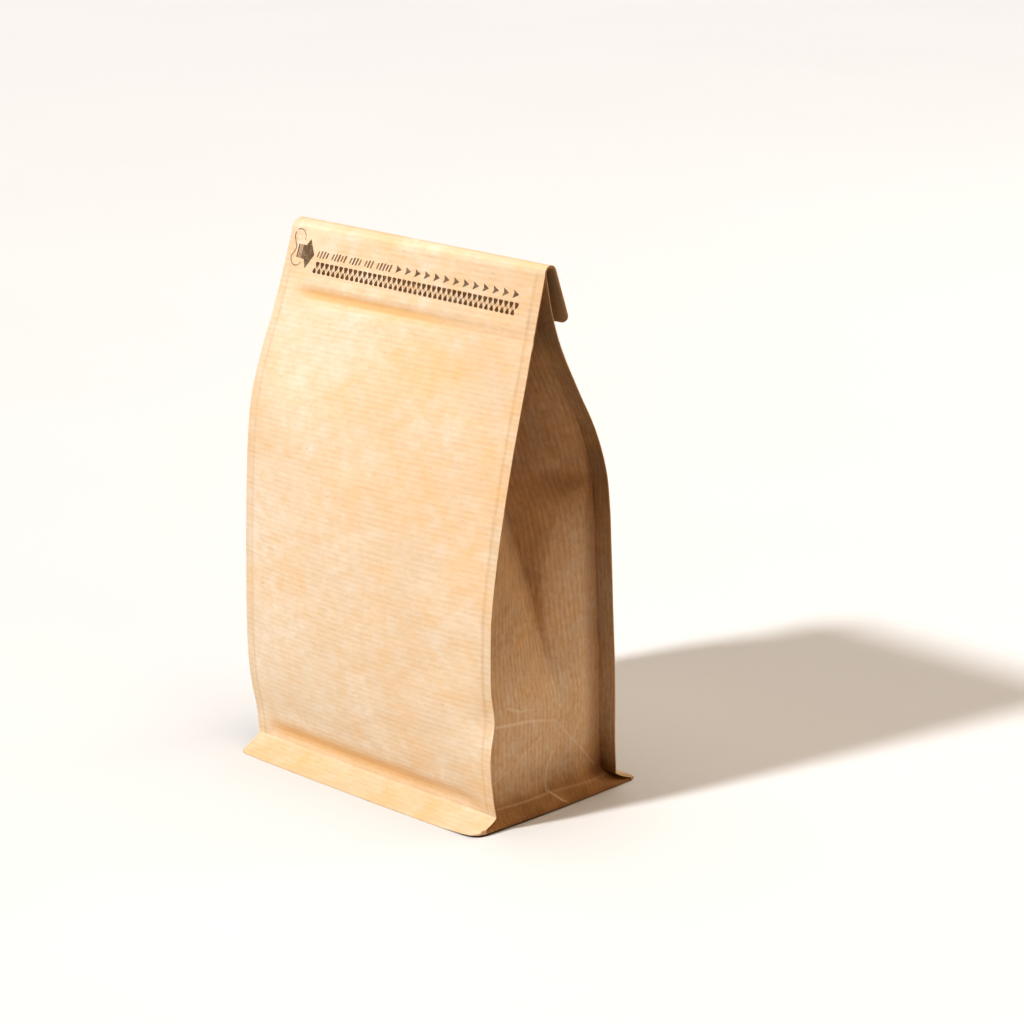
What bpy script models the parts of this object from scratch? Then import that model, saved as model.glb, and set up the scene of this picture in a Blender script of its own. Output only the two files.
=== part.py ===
"""A filled and shut coffee bag of ribbed kraft paper, modelled as one closed solid.

The bag is a box pouch. Two panels, front and back, carry flat sealed fins down their side
edges. A gusset joins the panels on each side: it is full at the bottom and folds in between
the panels towards the top. At the floor the panels turn outwards into a sealed skirt. At the
top the bag is pressed flat, folded over a ridge and hangs down behind as a flap.

The solid is lofted. A station is one closed outline round the bag. The first outline lies on
the floor, the next ones climb the walls, turn over the ridge and run down the flap, and each
one is an extrusion of the one before.

Frame: metres, X across the front panel, -Y to the front, +Z up, origin on the floor in the
middle of the footprint.
"""

import bpy
import bmesh
from math import cos, exp, pi, radians, sin, sqrt
from mathutils import Vector

# ---- driving dimensions, in metres ----
MM = 0.001

PANEL_HALF_WIDTH = 70 * MM          # front and back panel, fins included
SKIRT_HALF_WIDTH = 68 * MM          # the same at the floor
SKIRT_HALF_DEPTH = 46 * MM          # footprint, floor to floor across the skirt
SKIRT_CORNER_RADIUS = 3.5 * MM
SOFT_CORNER_RADIUS = 8 * MM         # the skirt's front right corner, worn rounder than the rest
SKIRT_BOW = 0.8 * MM                # how far the skirt's edges bow out between the corners
WIDTH_SETTLES_AT = 60 * MM          # height where the panels reach their full width

FRONT_FIN = 4 * MM                  # sealed fin outside the gusset, on the front panel
BACK_FIN = 8 * MM                   # the same on the back panel
FIN_THICKNESS = 0.8 * MM
FIN_SHARE_LIMIT = 0.2               # the most that one fin takes of a thin place's thickness
ROOT_PER_FIN = 1.4                  # the gusset leaves the fin this share of its thickness in
SIDE_STRIP_HEIGHT = 9 * MM          # sloping strip that closes each gusset to the floor

GUSSET_HALF_WIDTH = 34.9 * MM       # paper from a fin to the gusset's middle crease
GUSSET_FULL_UP_TO = 38 * MM         # below this the filling holds the gusset out
GUSSET_FOLDED_FROM = 108 * MM       # above this it folds in with its whole width
GUSSET_CLOSES_FROM = 188 * MM       # from here the fold is pressed shut towards the ridge
GUSSET_SHUT_AT = 211 * MM
GUSSET_SWELL = 2.2 * MM             # how far the full part stands out
GUSSET_SWELLS_FROM = 30 * MM

FRONT_PILLOW = 4.0 * MM             # how far the filling swells the panels
BACK_PILLOW = 6.0 * MM
PILLOW_FULL_FROM = 70 * MM
PILLOW_FULL_TO = 105 * MM
PILLOW_ENDS_AT = 190 * MM           # the panels are pressed flat above this
PILLOW_POWER = 2.4                  # how squarely the swelling ends at the fins

PINCH_DEPTH = 2.2 * MM              # a small dent in the front panel's right edge
PINCH_HEIGHT = 45 * MM
PINCH_SPREAD = 9 * MM

SHEET_THICKNESS = 1.2 * MM          # the pressed layers over the ridge and down the flap
FLAP_LENGTH = 22.8 * MM
FLAP_CORNER_RADIUS = 4 * MM

# Edges of the panels as (height, y), from the skirt's crease up to the ridge.
SKIRT_CREASE_HEIGHT = 6 * MM
FRONT_EDGE_LEFT = [(z * MM, y * MM) for z, y in (
    (6, -34.8), (16, -35.7), (30, -38.2), (46, -39), (96, -38.2), (129, -36.5),
    (146, -34.3), (161, -29.8), (184, -20.4), (199, -15), (212, -10.7))]
FRONT_EDGE_RIGHT = [(z * MM, y * MM) for z, y in (
    (6, -35), (14, -37.1), (28, -39.4), (48, -40.3), (72, -40.6), (88, -40.1),
    (113, -36.4), (143, -30.2), (172, -22.9), (193, -17.7), (214, -12.3))]
BACK_EDGE_LEFT = [(z * MM, y * MM) for z, y in (
    (6, 33), (30, 31.3), (64, 28.8), (100, 26.6), (116, 25.5), (132, 23), (149, 16.8),
    (167, 6.8), (183, -2), (196, -6.8), (211.6, -9.6))]
BACK_EDGE_RIGHT = [(z * MM, y * MM) for z, y in (
    (6, 33), (30, 31.3), (64, 28.8), (100, 26.6), (116, 25.5), (132, 23.1), (149, 16.8),
    (167, 6.5), (183, -2.2), (196, -7.3), (213.8, -11.1))]

# The ridge at each end: outer radius, the centre it turns about as (y, height), the lean of
# the front panel where it meets the ridge, and the lean of the flap behind it.
RIDGE_LEFT = (5.5 * MM, (-5.5 * MM, 210.3 * MM), radians(18), radians(16))
RIDGE_RIGHT = (3.1 * MM, (-9.3 * MM, 213.3 * MM), radians(14), radians(20.5))

# ---- how finely the solid is faceted ----
# The skirt's outlines as (height, reach), reach being 1 at its edge and 0 at its crease.
SKIRT_STEPS = ((0.0, 1.0), (0.4 * MM, 1.0), (1.5 * MM, 0.64), (3.0 * MM, 0.34), (4.4 * MM, 0.14))
WALL_STEP = 6.2 * MM
RIDGE_STEPS = 8
FLAP_STEPS = (0.18, 0.5, 0.8)
CORNER_STEPS = 3
PANEL_STEPS = (0.0, 0.14, 0.28, 0.42, 0.56, 0.7, 0.81, 0.9, 0.965, 1.0)
FIN_STEPS = (0.4, 0.8)
GUSSET_STEPS = 10

PAPER_COLOUR = (0.72, 0.50, 0.28, 1.0)
PAPER_ROUGHNESS = 0.72


def clamp(value):
    """Keep a share between nothing and all."""
    return min(1.0, max(0.0, value))


def ease(value, start, end):
    """Rise smoothly from 0 at start to 1 at end."""
    share = clamp((value - start) / (end - start))
    return share * share * (3 - 2 * share)


def mix(low, high, share):
    """Blend two numbers."""
    return low + (high - low) * share


def curve(points, at):
    """Read a smooth curve through (position, value) points."""
    at = min(max(at, points[0][0]), points[-1][0])
    last = len(points) - 1
    i = next(k for k in range(last) if at <= points[k + 1][0])

    def slope(k):
        before, after = points[max(k - 1, 0)], points[min(k + 1, last)]
        return (after[1] - before[1]) / (after[0] - before[0])

    (start, low), (end, high) = points[i], points[i + 1]
    span = end - start
    t = (at - start) / span
    return (low * (1 + 2 * t) * (1 - t) ** 2 + high * t * t * (3 - 2 * t)
            + span * t * (1 - t) * ((1 - t) * slope(i) - t * slope(i + 1)))


class End:
    """One end of the bag, left or right, seen from the side."""

    def __init__(self, front, back, ridge):
        self.front = front
        self.back = back
        self.radius, self.centre, self.lean_in, self.lean_out = ridge

    def skirt(self, height, reach):
        """Front and back points of the skirt, reach being 1 at its edge and 0 at its crease."""
        front = mix(self.front[0][1], -SKIRT_HALF_DEPTH, reach)
        back = mix(self.back[0][1], SKIRT_HALF_DEPTH, reach)
        return (front, height), (back, height)

    def wall(self, share):
        """Front and back points of the wall, share being 0 at the skirt and 1 at the ridge."""
        points = []
        for edge in (self.front, self.back):
            height = mix(edge[0][0], edge[-1][0], share)
            points.append((curve(edge, height), height))
        return tuple(points)

    def ridge(self, share):
        """Outer and inner points of the ridge, share going from the front to the flap."""
        angle = mix(pi - self.lean_in, self.lean_out, share)
        return tuple((self.centre[0] + r * cos(angle), self.centre[1] + r * sin(angle))
                     for r in (self.radius, self.radius - SHEET_THICKNESS))

    def flap(self, distance):
        """Outer and inner points of the flap, at a distance down from the ridge."""
        step = (distance * sin(self.lean_out), -distance * cos(self.lean_out))
        return tuple((y + step[0], z + step[1]) for y, z in self.ridge(1.0))


LEFT = End(FRONT_EDGE_LEFT, BACK_EDGE_LEFT, RIDGE_LEFT)
RIGHT = End(FRONT_EDGE_RIGHT, BACK_EDGE_RIGHT, RIDGE_RIGHT)


class Station:
    """One outline round the bag: its points at both ends, its width and how it is folded."""

    def __init__(self, left, right, half_width, on_wall=True):
        self.ends = (left, right)
        self.half_width = half_width
        self.height = (left[0][1] + right[0][1]) / 2
        self.on_wall = on_wall

    def pillow(self, x, amount):
        """How far the filling pushes a panel out at x."""
        if not self.on_wall:
            return 0.0
        rise = ease(self.height, SKIRT_CREASE_HEIGHT, PILLOW_FULL_FROM)
        fall = ease(self.height, PILLOW_FULL_TO, PILLOW_ENDS_AT)
        across = max(0.0, 1 - abs(x / (self.half_width - FRONT_FIN)) ** PILLOW_POWER)
        return across * (amount * rise * (1 - fall) + SKIRT_BOW * (1 - rise))

    def panel_point(self, x, back):
        """A point of the front (back=0) or back (back=1) panel."""
        share = (x / PANEL_HALF_WIDTH + 1) / 2
        y = mix(self.ends[0][back][0], self.ends[1][back][0], share)
        z = mix(self.ends[0][back][1], self.ends[1][back][1], share)
        swell = self.pillow(x, BACK_PILLOW if back else FRONT_PILLOW)
        y += swell if back else self.pinch(x, z) - swell
        if self.height < SIDE_STRIP_HEIGHT:
            y = self.trim_skirt_corner(x, y, back)
        return Vector((x, y, z))

    def pinch(self, x, z):
        """How far the dent at the front panel's right edge pushes it back."""
        away = Vector((x - PANEL_HALF_WIDTH, z - PINCH_HEIGHT)).length / PINCH_SPREAD
        return PINCH_DEPTH * exp(-away * away) if self.on_wall else 0.0

    def trim_skirt_corner(self, x, y, back):
        """Keep a skirt point inside the footprint's rounded corner."""
        radius = SOFT_CORNER_RADIUS if x > 0 and not back else SKIRT_CORNER_RADIUS
        over = abs(x) - (self.half_width - radius)
        if over <= 0:
            return y
        limit = SKIRT_HALF_DEPTH - radius + sqrt(max(0.0, radius ** 2 - over ** 2))
        return max(-limit, min(limit, y))

    def fold_depth(self, gap):
        """How far the gusset's middle crease lies inside the fins, for a gap between panels."""
        if not self.on_wall:
            return 0.0
        folded = ease(self.height, GUSSET_FULL_UP_TO, GUSSET_FOLDED_FROM)
        shut = ease(self.height, GUSSET_CLOSES_FROM, GUSSET_SHUT_AT)
        inwards = sqrt(max(0.0, GUSSET_HALF_WIDTH ** 2 - (gap / 2) ** 2))
        swell = GUSSET_SWELL * ease(self.height, 0, GUSSET_SWELLS_FROM) * (1 - folded)
        return inwards * folded * (1 - shut) - swell

    def side(self, sign):
        """Points from the front fin's edge to the back fin's edge, round one gusset."""
        x = sign * self.half_width
        front, back = self.panel_point(x, 0), self.panel_point(x, 1)
        gap = (back - front).length
        fin = min(FIN_THICKNESS / gap, FIN_SHARE_LIMIT)
        root = ROOT_PER_FIN * fin
        stands = ease(self.height, 0, SIDE_STRIP_HEIGHT) if self.on_wall else 0.0
        stands *= 1 - ease(self.height, GUSSET_CLOSES_FROM, GUSSET_SHUT_AT)
        depth = self.fold_depth(gap)
        points = [front, front.lerp(back, fin)]
        for i in range(GUSSET_STEPS + 1):
            share = i / GUSSET_STEPS
            inset = stands * mix(FRONT_FIN, BACK_FIN, share)
            bend = 1 - abs(2 * share - 1)
            inset += depth * (bend if depth > 0 else bend * (2 - bend))
            bow = SKIRT_BOW * sin(pi * share) * (1 - ease(self.height, 0, SIDE_STRIP_HEIGHT))
            point = front.lerp(back, mix(root, 1 - root, share))
            point.x -= sign * (inset - bow)
            points.append(point)
        points += [front.lerp(back, 1 - fin), back]
        return points

    def half(self, sign):
        """Points from the middle of the front to the middle of the back, on one side."""
        inner = self.half_width - FRONT_FIN
        columns = [sign * inner * share for share in PANEL_STEPS]
        columns += [sign * (inner + FRONT_FIN * share) for share in FIN_STEPS]
        front = [self.panel_point(x, 0) for x in columns]
        back = [self.panel_point(x, 1) for x in reversed(columns)]
        return front + self.side(sign) + back

    def outline(self):
        """All points of the outline, once round the bag."""
        right, left = self.half(1), self.half(-1)
        return right + left[-2:0:-1]


def wall_half_width(height):
    """Half the width of the panels, which widen a little above the skirt."""
    return mix(SKIRT_HALF_WIDTH, PANEL_HALF_WIDTH, ease(height, 0, WIDTH_SETTLES_AT))


def stations():
    """Every outline of the loft, from the floor over the ridge to the flap's free edge."""
    found = []
    for height, reach in SKIRT_STEPS:
        left, right = LEFT.skirt(height, reach), RIGHT.skirt(height, reach)
        found.append(Station(left, right, wall_half_width(height)))

    wall_height = FRONT_EDGE_RIGHT[-1][0] - FRONT_EDGE_RIGHT[0][0]
    wall_steps = round(wall_height / WALL_STEP)
    for i in range(wall_steps):
        left, right = LEFT.wall(i / wall_steps), RIGHT.wall(i / wall_steps)
        found.append(Station(left, right, wall_half_width(left[0][1])))

    for i in range(RIDGE_STEPS + 1):
        share = i / RIDGE_STEPS
        found.append(Station(LEFT.ridge(share), RIGHT.ridge(share), PANEL_HALF_WIDTH, False))

    straight = FLAP_LENGTH - FLAP_CORNER_RADIUS
    drops = [(straight * share, 0.0) for share in FLAP_STEPS]
    for i in range(CORNER_STEPS + 1):
        angle = pi / 2 * i / CORNER_STEPS
        drops.append((straight + FLAP_CORNER_RADIUS * sin(angle),
                      FLAP_CORNER_RADIUS * (1 - cos(angle))))
    for distance, trim in drops:
        found.append(Station(LEFT.flap(distance), RIGHT.flap(distance),
                             PANEL_HALF_WIDTH - trim, False))
    return found


def loft(name, outlines):
    """Extrude the first outline through all the others into one closed object."""
    body = bmesh.new()
    floor = body.faces.new([body.verts.new(point) for point in outlines[0]])
    cap = floor
    for outline in outlines[1:]:
        grown = bmesh.ops.extrude_face_region(body, geom=[cap])["geom"]
        if cap is not floor:
            bmesh.ops.delete(body, geom=[cap], context="FACES_ONLY")
        cap = next(item for item in grown if isinstance(item, bmesh.types.BMFace))
        for loop, point in zip(cap.loops, outline):
            loop.vert.co = point
    bmesh.ops.recalc_face_normals(body, faces=body.faces)
    mesh = bpy.data.meshes.new(name)
    body.to_mesh(mesh)
    body.free()
    bag = bpy.data.objects.new(name, mesh)
    bpy.context.scene.collection.objects.link(bag)
    return bag


def kraft_paper():
    """The matt brown paper of the whole bag."""
    material = bpy.data.materials.new("kraft_paper")
    material.use_nodes = True
    shader = material.node_tree.nodes["Principled BSDF"]
    shader.inputs["Base Color"].default_value = PAPER_COLOUR
    shader.inputs["Roughness"].default_value = PAPER_ROUGHNESS
    shader.inputs["Metallic"].default_value = 0.0
    return material


def main():
    """Clear the scene and model the bag."""
    for old in list(bpy.data.objects):
        bpy.data.objects.remove(old, do_unlink=True)
    bag = loft("coffee_bag", [station.outline() for station in stations()])
    bag.data.materials.append(kraft_paper())
    bag.data.shade_smooth()
    bag.data.set_sharp_from_angle(angle=radians(35))


main()
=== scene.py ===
"""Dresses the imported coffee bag: ribbed kraft paper, its printed opening band and a plain stage.

The bag is a box pouch made of one paper shell. A flat sheet is rolled round the bag's outline,
station by station, from the floor over the ridge to the end of the flap. The print is thin
flat artwork that is cut out, given a little thickness and wrapped on the front panel.

Frame: metres, X across the front panel, -Y to the front, +Z up, origin on the floor.
"""

from math import atan2, cos, exp, pi, radians, sin, sqrt

import bpy
from bpy.props import (FloatProperty, FloatVectorProperty, IntProperty, PointerProperty)
from bpy.types import Operator, Panel, PropertyGroup
from mathutils import Matrix, Vector, noise


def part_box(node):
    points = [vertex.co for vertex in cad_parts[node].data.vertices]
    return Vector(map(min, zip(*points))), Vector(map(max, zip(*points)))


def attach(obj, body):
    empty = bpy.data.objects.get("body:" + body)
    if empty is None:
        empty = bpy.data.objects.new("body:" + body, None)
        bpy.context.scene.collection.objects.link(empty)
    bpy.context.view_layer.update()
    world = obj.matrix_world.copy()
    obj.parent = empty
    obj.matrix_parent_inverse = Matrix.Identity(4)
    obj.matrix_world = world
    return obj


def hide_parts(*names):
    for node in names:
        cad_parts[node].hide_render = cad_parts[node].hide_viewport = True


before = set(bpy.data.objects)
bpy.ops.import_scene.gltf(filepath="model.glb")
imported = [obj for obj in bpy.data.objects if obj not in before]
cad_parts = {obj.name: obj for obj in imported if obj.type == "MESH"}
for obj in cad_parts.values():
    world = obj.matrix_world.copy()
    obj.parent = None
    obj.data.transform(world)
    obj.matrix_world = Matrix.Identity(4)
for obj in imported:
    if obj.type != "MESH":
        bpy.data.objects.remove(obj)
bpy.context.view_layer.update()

bl_info = {
    "name": "Kraft coffee bag",
    "version": (1, 0, 0),
    "blender": (4, 5, 0),
    "location": "View3D > Sidebar > Coffee bag",
    "description": "Builds a shut coffee bag of ribbed kraft paper around its packed solid",
    "category": "Add Mesh",
}

MM = 0.001
BAG_NODE = "coffee_bag"


def heights(rows, *scales):
    """Turn rows of (height in mm, values) into metres, each value times its own scale."""
    return [(row[0] * MM, *(value * scale for value, scale in zip(row[1:], scales)))
            for row in rows]


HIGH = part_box(BAG_NODE)[1]

# ---- the bag's outline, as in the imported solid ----
PANEL_HALF_WIDTH = HIGH.x
SKIRT_HALF_WIDTH = PANEL_HALF_WIDTH - 2 * MM
SKIRT_HALF_DEPTH = 46 * MM
WIDTH_SETTLES_AT = 60 * MM
SKIRT_CREASE_HEIGHT = 6 * MM
SIDE_STRIP_HEIGHT = 7.5 * MM
FRONT_FIN = 4 * MM
BACK_FIN = 8 * MM

# Edges of the panels as (height, y), from the skirt's crease up to the ridge.
FRONT_EDGE_LEFT = heights((
    (6, -34.8), (16, -35.7), (30, -38.2), (46, -39), (96, -38.2), (129, -36.5),
    (146, -34.3), (161, -29.8), (184, -20.4), (199, -15), (212, -10.7)), MM)
FRONT_EDGE_RIGHT = heights((
    (6, -35), (14, -37.1), (28, -39.4), (48, -40.3), (72, -40.6), (88, -40.1),
    (113, -36.4), (143, -30.2), (172, -22.9), (193, -17.7), (214, -12.3)), MM)
BACK_EDGE_LEFT = heights((
    (6, 33), (30, 31.3), (64, 28.8), (100, 26.6), (116, 25.5), (132, 23), (149, 16.8),
    (167, 6.8), (183, -2), (196, -6.8)), MM)
BACK_EDGE_RIGHT = heights((
    (6, 33), (30, 31.3), (64, 28.8), (100, 26.6), (116, 25.5), (132, 23.1), (149, 16.8),
    (167, 6.5), (183, -2.2), (196, -7.3)), MM)

# The ridge at each end: outer radius, the centre it turns about as (y, height), the lean of
# the front panel where it meets the ridge, and the lean of the flap behind it.
RIDGE_LEFT = (5.5 * MM, (-5.5 * MM, 210.3 * MM), radians(18), radians(16))
RIDGE_RIGHT = (3.1 * MM, (-9.3 * MM, 213.3 * MM), radians(14), radians(20.5))
FLAP_LENGTH = 22.6 * MM
FLAP_CORNER_RADIUS = 4 * MM

# ---- the gussets ----
# Lines that a gusset is folded along, from front to back: the valley, the edge of the bulge
# and the turn before the back fin. Each is (height, share of the way back, inset in mm).
VALLEY = heights((
    (0, .50, 0), (9, .52, 4.2), (24, .55, 3.4), (36, .57, 3.2), (47, .60, 4.4), (57, .565, 6.4),
    (72, .535, 9.6), (89, .52, 13.6), (105, .475, 18), (121, .43, 22.5), (143, .44, 28.5),
    (160, .46, 32.5), (180, .50, 36), (214, .50, 38.5)), 1, MM)
BULGE = heights((
    (0, .60, 0), (9, .60, 4.2), (24, .61, 3.5), (36, .62, 3.2), (47, .645, 4.0), (57, .60, 5.6),
    (72, .565, 8.0), (89, .565, 9.8), (103, .60, 10.2), (114, .665, 9.9), (122, .76, 9.0),
    (128, .93, 7.9), (134, .955, 8.6), (160, .95, 10.6), (214, .95, 10.6)), 1, MM)
TURN = heights((
    (0, .84, 0), (9, .84, 4.6), (24, .83, 4.0), (47, .82, 3.8), (89, .82, 4.0), (112, .84, 4.4),
    (121, .89, 5.6), (128, .97, 7.7), (134, .975, 8.3), (160, .975, 9.2), (214, .975, 9.2)), 1, MM)
GUSSET_PAPER_WIDTH = 74 * MM
GUSSET_CLOSES_FROM = 190 * MM
GUSSET_SHUT_AT = 212 * MM

# ---- how finely the shell is meshed ----
FRONT_COLUMNS = 104
BACK_COLUMNS = 64
GUSSET_COLUMNS = (20, 10, 12, 8)
WALL_STEP = 1.3 * MM
WELD_DISTANCE = 2e-6
SMOOTH_ANGLE = radians(38)

# ---- the shell's own relief, in metres ----
SKIRT_REACH = heights((
    (0, 1), (0.35, 1), (1.5, 0.66), (3.0, 0.36), (4.4, 0.14), (5.4, 0.03), (6, 0)), 1)
SKIRT_HEIGHTS = [z * MM for z in (0, 0.35, 0.8, 1.3, 1.9, 2.5, 3.2, 3.9, 4.6, 5.2, 5.7)]
SKIRT_CORNER_RADIUS = 3.5 * MM
SOFT_CORNER_RADIUS = 5.5 * MM
SKIRT_BOW = 0.8 * MM
CURL_HEIGHT = 0.9 * MM              # the skirt's front right corner is curled off the floor
CURL_SPREAD = 11 * MM
BASE_STEPS = ((0.02, 1.1 * MM), (0.4, 1.1 * MM), (0.8, 1.1 * MM), (0.85, 1.0 * MM),
              (0.875, 0.25 * MM), (0.9, 0.05 * MM), (0.96, 0.0))
FRONT_PILLOW = 4.0 * MM
BACK_PILLOW = 6.0 * MM
PILLOW_FULL_FROM = 70 * MM
PILLOW_FULL_TO = 105 * MM
PILLOW_ENDS_AT = 190 * MM
PILLOW_POWER = 2.4
PINCH_DEPTH = 2.2 * MM              # a small dent in the front panel's right edge
PINCH_HEIGHT = 45 * MM
PINCH_SPREAD = 9 * MM
TEAR_NOTCH = 0.4 * MM               # nick that starts the tear, in the front right fin
TEAR_NOTCH_HEIGHT = 190 * MM
FIN_THICKNESS = 0.45 * MM
FIN_STEP = 0.22 * MM                # a sealed fin lies this much behind its panel
FIN_MAX_SHARE = 0.2                 # of the way to the other fin, where the bag is thin
FIN_ROOT = 1.3                      # where the gusset leaves its fin, in fin thicknesses
UNDERCUT = 1.4 * MM                 # hollow of the panels just above the skirt
UNDERCUT_HEIGHT = 9.5 * MM
UNDERCUT_SPREAD = 3.4 * MM
ZIP_TROUGH = 1.2 * MM               # hollow under the inner zip
ZIP_TROUGH_HEIGHT = 188.6 * MM
ZIP_TROUGH_SPREAD = 2.3 * MM
ZIP_RIB = 0.28 * MM                 # the inner zip itself, which stands out above its hollow
ZIP_RIB_HEIGHT = 193.2 * MM
ZIP_RIB_SPREAD = 1.6 * MM
CRUMPLE = 0.55 * MM
GUSSET_CRUMPLE = 0.5 * MM
# Layers of crumple and colour, each as (weight, width of its hills in mm, seed).
FRONT_CRUMPLES = ((0.55, 46, 3.1), (0.3, 21, 8.7), (0.16, 9, 5.4))
BACK_CRUMPLES = ((0.8, 52, 13.1), (0.35, 23, 18.7), (0.18, 10, 15.4))
GUSSET_CRUMPLES = ((0.7, 17, 0), (0.45, 7.5, 6), (0.2, 4, 11))
GUSSET_CRUMPLES_RISE = (0.012, 0.03)
BLOTCHES = ((0.9, 19, 4.4), (0.7, 7, 9.1), (0.45, 3.4, 2.6))
FACET_BOWS = (1.2 * MM, 0.0, 0.5 * MM, 0.0)
FACETS_FLATTEN = (0.10, 0.16)       # heights where the gusset's facets lose their bow
SHEET_LEFT = 0.9 * MM               # pressed layers over the ridge and down the flap
SHEET_RIGHT = 0.8 * MM
RIDGE_STEPS = 16
FLAP_STEPS = 14
CORNER_STEPS = 7

# Soft dents in a panel: middle as (x, height) in mm, radii in mm, turn, depth in mm. A
# depth below zero stands out.
FRONT_DENTS = (
    ((-28, 176), (7, 2.2), radians(78), 0.5),
    ((-12, 180), (8, 2.6), radians(60), 0.45),
    ((-44, 178), (10, 6), radians(20), -0.5),
    ((-36, 169), (9, 2.4), radians(-35), 0.4),
    ((-20, 166), (6, 2.2), radians(25), 0.4),
    ((-2, 172), (8, 2.6), radians(-50), 0.35),
    ((-50, 160), (10, 3), radians(65), 0.4),
    ((8, 182), (9, 2.4), radians(-20), 0.35),
    ((30, 184), (14, 4), radians(-8), 0.25),
    ((40, 60), (22, 7), radians(35), 0.35),
    ((18, 30), (26, 6), radians(6), 0.3),
)
BACK_DENTS = (
    ((-20, 168), (18, 4), radians(12), 0.5),
    ((25, 150), (16, 5), radians(-25), 0.5),
    ((0, 186), (45, 3.5), radians(2), 0.5),
    ((-35, 70), (20, 8), radians(50), 0.4),
)
# The same on a gusset, its middle as (way from the front edge, height).
GUSSET_DENTS = (
    ((58, 131), (9, 2.6), radians(-8), 1.3),
    ((60, 141.5), (8, 4), 0.0, -0.8),
    ((30, 62), (14, 5), radians(62), 0.5),
    ((47, 84), (12, 4), radians(78), -0.4),
    ((24, 150), (16, 4), radians(70), 0.5),
    ((40, 172), (14, 4), radians(80), -0.5),
)

# ---- the paper's own coordinates ----
PAPER_UV = "paper"
SEAL_AND_SHADE_ATTRIBUTE = "seal_and_painted_shade"
GUSSET_ATTRIBUTE = "gusset"
WARM_AND_SHADE_ATTRIBUTE = "warm"
# How brown a gusset's paper is by height: the sealed strip at its foot, and above it painted
# shade, deeper where the gusset is folded in towards the top.
GUSSET_SEAL_AND_SHADE = heights((
    (0, 1.0), (7, 0.95), (11, 0.55), (18, 0.26), (25, 0.02), (46, 0.0), (60, 0.12), (91, 0.22),
    (110, 0.42), (125, 0.62), (165, 0.58), (195, 0.48), (208, 0.6), (215, 0.9)), 1)
# Painted shade by height on the front part of a gusset, down in the V of its fold.
FOLD_PAINTED_SHADE = heights((
    (50, 0.0), (65, 0.2), (78, 0.36), (105, 0.34), (121, 0.08), (135, 0.0)), 1)
# Painted shade in the corner between the gusset's last turn and the back fin.
TURN_PAINTED_SHADE = 0.1                     # more brown behind the gusset's last turn
# Painted shade: the front is browner towards its upper right, away from the key lamp.
FRONT_PAINTED_SHADE = 0.16                   # more brown towards the front's upper right
FIN_LINE = 0.22                     # thin brown line where the front's fins begin
FRONT_FIN_SEAL = 0.08
BACK_FIN_SEAL = 0.4
SKIRT_SEAL = 0.05
SKIRT_SEAL_FADES = (0.0045, 0.0065)
# How orange the paper is: painted shade in its hollows, and its own tone on the skirt and in its
# blotches.
ZIP_PAINTED_SHADE = 1.0
LOW_PAINTED_SHADE = 0.9
SKIRT_WARMTH = 0.2
BLOTCH_WARMTH = 0.34
GUSSET_WARMTH = 0.8                 # a gusset's blotches, as a share of a panel's
# Where each part of the paper starts along u, the front at 0.
RIGHT_ISLAND = 0.3
BACK_ISLAND = 0.7
LEFT_ISLAND = 1.0
BASE_ISLAND = 1.5

# Worn creases as (start, end, half width, strength) in paper coordinates: on a gusset, the
# height along the paper and the distance from its middle, on the base x and y.
SIDE_CREASES = (
    ((35.7, 1.8), (39.4, -12.5), 0.8, 0.5), ((39.4, -12.5), (41.4, -33.8), 0.9, 0.75),
    ((35.7, 1.8), (9.6, 26.5), 0.7, 0.4), ((35.7, 1.8), (18.3, -32.5), 0.7, 0.3),
    ((47.5, -26), (44.5, -19), 0.9, 0.55), ((44.5, -19), (43.4, -9), 0.7, 0.3),
    ((23.5, 0.5), (16.5, -3.4), 0.7, 0.5), ((16.5, -3.4), (7.4, -4.5), 0.7, 0.5),
    ((7.4, -4.5), (1.5, 3.5), 0.7, 0.5), ((7.2, -34), (6.4, -4.5), 0.7, 0.3),
    ((6.4, -4.5), (4.5, 34), 0.6, 0.2),
)
CREASES = [((RIGHT_ISLAND + a[0] * MM, a[1] * MM), (RIGHT_ISLAND + b[0] * MM, b[1] * MM),
            width * MM, 0.85 * strength) for a, b, width, strength in SIDE_CREASES]
CREASES += [((LEFT_ISLAND + a[0] * MM, -a[1] * MM), (LEFT_ISLAND + b[0] * MM, -b[1] * MM),
             width * MM, 0.5 * strength) for a, b, width, strength in SIDE_CREASES[:4]]

# ---- the print, in metres: places are (x, height) on the front panel ----
INK_TOP = 0.035 * MM
INK_DEPTH = 0.12 * MM
UPPER_ROW = ((-50.9 * MM, 200.2 * MM), (58.8 * MM, 200.5 * MM))
LOWER_ROW = ((-51.9 * MM, 198.0 * MM), (57.4 * MM, 198.0 * MM))
TOOTH_SIZE_SPREAD = 0.06
POINTER_ROW = ((-5.6 * MM, 204.7 * MM), (57.7 * MM, 204.5 * MM))
POINTER_CORNERS = ((-1.45, 1.5), (-1.1, 0.0), (-1.65, -1.55), (1.5, 0.05))
HATCH_ROW = ((-51.6 * MM, 204.2 * MM), (-9.5 * MM, 204.5 * MM))
HATCH_GROUPS = (4, 5, 4, 3, 5)
HATCH_PITCH = 1.75 * MM
HATCH_GAP = 0.9                     # between groups, in pitches
HATCH_SHORT = 0.82                  # size of every third stroke
# A slanted stroke's half width, its rise, and how far each end leans out.
HATCH_STROKE = (0.4 * MM, 2.8 * MM, 0.5 * MM)
THREAD_STROKE = (0.1 * MM, 1.9 * MM, 0.45 * MM)
THREAD_SIZE = 0.8
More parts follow.
